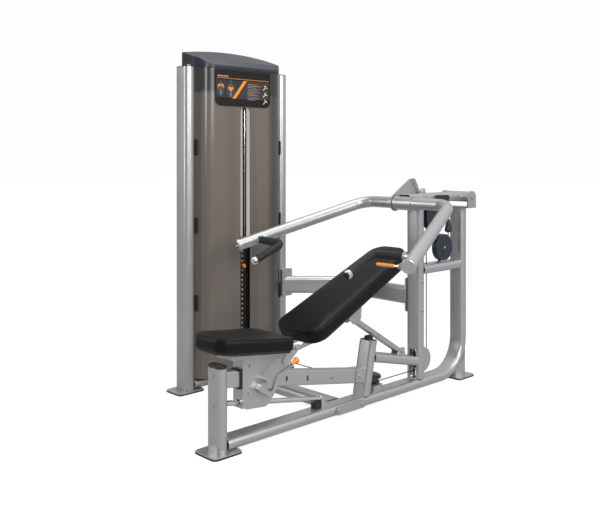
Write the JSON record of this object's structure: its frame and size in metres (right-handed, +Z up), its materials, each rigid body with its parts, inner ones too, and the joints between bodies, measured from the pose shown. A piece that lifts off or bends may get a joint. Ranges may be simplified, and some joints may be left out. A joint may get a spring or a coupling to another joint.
{
  "type": "chest press machine",
  "caption": "Plate-stack chest press machine: a silver tube frame with a shrouded weight tower, sliding seat, reclining back pad on a prop, and a pivoting press arm lifted by a cable.",
  "frame": {"origin": "middle of the machine's footprint, on the floor", "axes": "+Z up; +Y from the seat's front post towards the rear upright; +X to the user's left side, away from the weight tower"},
  "size_m": [1.5083, 1.879, 1.8565],
  "materials": {
    "silver": "satin silver-grey powder coat",
    "chrome": "polished plating",
    "navy": "semi-gloss moulded plastic",
    "rubber": "matt black rubber or soft plastic",
    "foam": "closed-cell foam grip",
    "vinyl": "black grained vinyl over foam",
    "board": "black painted plywood",
    "sign": "printed plastic plate",
    "orange": "gloss orange",
    "smoked": "smoked grey-brown panel, soft sheen",
    "iron": "black enamelled steel plates",
    "dark_steel": "dark zinc",
    "cable": "black nylon jacket"
  },
  "bodies": {
    "frame": {"front_foot": "silver", "rear_foot": "silver", "tower_front_foot": "silver", "tower_rear_foot": "silver", "base_rail": "silver", "front_post": "silver", "front_post_cap": "navy", "rear_low_tube": "silver", "main_upright": "silver", "cross_beam": "silver", "seat_rail": "silver", "seat_guide_rod": "chrome", "tower_front_upright": "silver", "tower_rear_upright": "silver", "tower_base_rail": "silver", "tower_top_plate": "silver", "front_shroud": "smoked", "rear_shroud": "smoked", "placard": "sign", "tower_cap": "navy", "stack_guide_rods": "chrome", "resting_plates": "iron", "pivot_bracket": "silver", "turning_cover": "navy", "lower_pulley_cover": "navy", "cable_fixed_run": "cable", "cable_head_run": "cable", "cable_arm_run": "cable"},
    "weight_stack": {"lifted_plates": "iron"},
    "selector": {"selector_pin": "orange"},
    "top_front_wheel": {"top_front_pulley": "navy"},
    "top_rear_wheel": {"top_rear_pulley": "navy"},
    "base_wheel": {"base_pulley": "navy"},
    "turning_wheel": {"turning_pulley": "navy"},
    "slot_wheel": {"slot_pulley": "navy"},
    "beam_wheel": {"beam_pulley": "navy"},
    "lower_wheel": {"lower_pulley": "navy"},
    "beam": {"press_beam": "silver", "beam_pulley_cover": "navy", "cable_stopper": "rubber"},
    "lock_handle": {"lock_lever": "rubber"},
    "lock_plunger": {"lock_pin": "chrome"},
    "press_arms": {"arm_tube": "silver", "left_handle": "chrome", "right_handle": "chrome", "left_grip": "foam", "right_grip": "foam", "sector_plate": "silver"},
    "release_handle": {"release_lever": "chrome", "release_grip": "orange"},
    "carriage": {"seat_carriage": "silver", "carriage_bushing": "rubber", "seat_board": "board", "seat_cushion": "vinyl"},
    "back_pad": {"back_board": "board", "back_cushion": "vinyl", "back_bracket": "silver"},
    "prop": {"back_prop": "silver"},
    "seat_handle": {"seat_lever": "dark_steel", "seat_lever_grip": "orange"}
  },
  "joints": [
    {"name": "arm_swing", "type": "hinge", "parent": "frame", "child": "beam", "pos_m": [0.1508, 0.8795, 1.034], "axis": [-1, 0, 0], "range_deg": [0, 32], "deforming": ["cable_arm_run"]},
    {"name": "arm_adjust", "type": "hinge", "parent": "beam", "child": "press_arms", "pos_m": [0.1508, 0.3975, 1.013], "axis": [-1, 0, 0], "range_deg": [0, 23.2]},
    {"name": "release_lever_pull", "type": "hinge", "parent": "press_arms", "child": "release_handle", "pos_m": [0.6628, -0.2805, 0.789], "axis": [0, 0, -1], "range_deg": [0, 12], "stiffness_Nm_per_rad": 0.4, "springref_deg": -5.73},
    {"name": "lock_lever_turn", "type": "hinge", "parent": "beam", "child": "lock_handle", "pos_m": [0.2078, 0.6955, 1.033], "axis": [1, 0, 0], "range_deg": [0, 10]},
    {"name": "lock_pin_draw", "type": "slide", "parent": "beam", "child": "lock_plunger", "axis": [0, 0.9699, 0.2436], "range_m": [0, 0.013]},
    {"name": "weight_lift", "type": "slide", "parent": "frame", "child": "weight_stack", "axis": [0, 0, 1], "range_m": [0, 0.33], "deforming": ["cable_head_run"]},
    {"name": "selector_pin_pull", "type": "slide", "parent": "weight_stack", "child": "selector", "axis": [1, 0, 0], "range_m": [0, 0.06]},
    {"name": "top_front_pulley_spin", "type": "hinge", "parent": "frame", "child": "top_front_wheel", "pos_m": [-0.6712, -0.0605, 1.695], "axis": [-1, 0, 0], "range_deg": [0, 380]},
    {"name": "top_rear_pulley_spin", "type": "hinge", "parent": "frame", "child": "top_rear_wheel", "pos_m": [-0.6712, 0.0485, 1.695], "axis": [-1, 0, 0], "range_deg": [0, 380]},
    {"name": "base_pulley_spin", "type": "hinge", "parent": "frame", "child": "base_wheel", "pos_m": [-0.6332, 0.0985, 0.143], "axis": [0, -1, 0], "range_deg": [0, 500]},
    {"name": "turning_pulley_spin", "type": "hinge", "parent": "frame", "child": "turning_wheel", "pos_m": [0.0938, 0.1555, 0.105], "axis": [0, 0, 1], "range_deg": [0, 335]},
    {"name": "slot_pulley_spin", "type": "hinge", "parent": "frame", "child": "slot_wheel", "pos_m": [0.1508, 0.5295, 0.155], "axis": [1, 0, 0], "range_deg": [0, 380]},
    {"name": "beam_pulley_spin", "type": "hinge", "parent": "beam", "child": "beam_wheel", "pos_m": [0.1508, 0.6365, 0.925], "axis": [-1, 0, 0], "range_deg": [0, 165]},
    {"name": "lower_pulley_spin", "type": "hinge", "parent": "frame", "child": "lower_wheel", "pos_m": [0.1508, 0.7255, 0.752], "axis": [1, 0, 0], "range_deg": [0, 60]},
    {"name": "seat_slide", "type": "slide", "parent": "frame", "child": "carriage", "axis": [0, 0.9854, -0.1702], "range_m": [0, 0.268]},
    {"name": "back_tilt", "type": "hinge", "parent": "carriage", "child": "back_pad", "pos_m": [0.1508, -0.4415, 0.385], "axis": [1, 0, 0], "range_deg": [0, 33]},
    {"name": "prop_swing", "type": "hinge", "parent": "frame", "child": "prop", "pos_m": [0.1508, 0.3365, 0.234], "axis": [-1, 0, 0], "range_deg": [0, 35]},
    {"name": "seat_lever_lift", "type": "hinge", "parent": "carriage", "child": "seat_handle", "pos_m": [0.2168, -0.6285, 0.236], "axis": [1, 0, 0], "range_deg": [0, 10], "stiffness_Nm_per_rad": 0.5, "springref_deg": -17.19}
  ],
  "couplings": [
    {"joint": "weight_lift", "follows": "arm_swing", "m_per_rad": 0.578},
    {"joint": "top_front_pulley_spin", "follows": "arm_swing", "ratio": 11.56},
    {"joint": "top_rear_pulley_spin", "follows": "arm_swing", "ratio": 11.56},
    {"joint": "base_pulley_spin", "follows": "arm_swing", "ratio": 15.2},
    {"joint": "turning_pulley_spin", "follows": "arm_swing", "ratio": 10.14},
    {"joint": "slot_pulley_spin", "follows": "arm_swing", "ratio": 11.56},
    {"joint": "beam_pulley_spin", "follows": "arm_swing", "ratio": 4.95},
    {"joint": "lower_pulley_spin", "follows": "arm_swing", "ratio": 1.75},
    {"joint": "lock_lever_turn", "follows": "release_lever_pull", "ratio": 0.8},
    {"joint": "lock_pin_draw", "follows": "release_lever_pull", "m_per_rad": 0.0597},
    {"joint": "back_tilt", "follows": "seat_slide", "rad_per_m": 2.101},
    {"joint": "prop_swing", "follows": "seat_slide", "rad_per_m": 2.236}
  ]
}
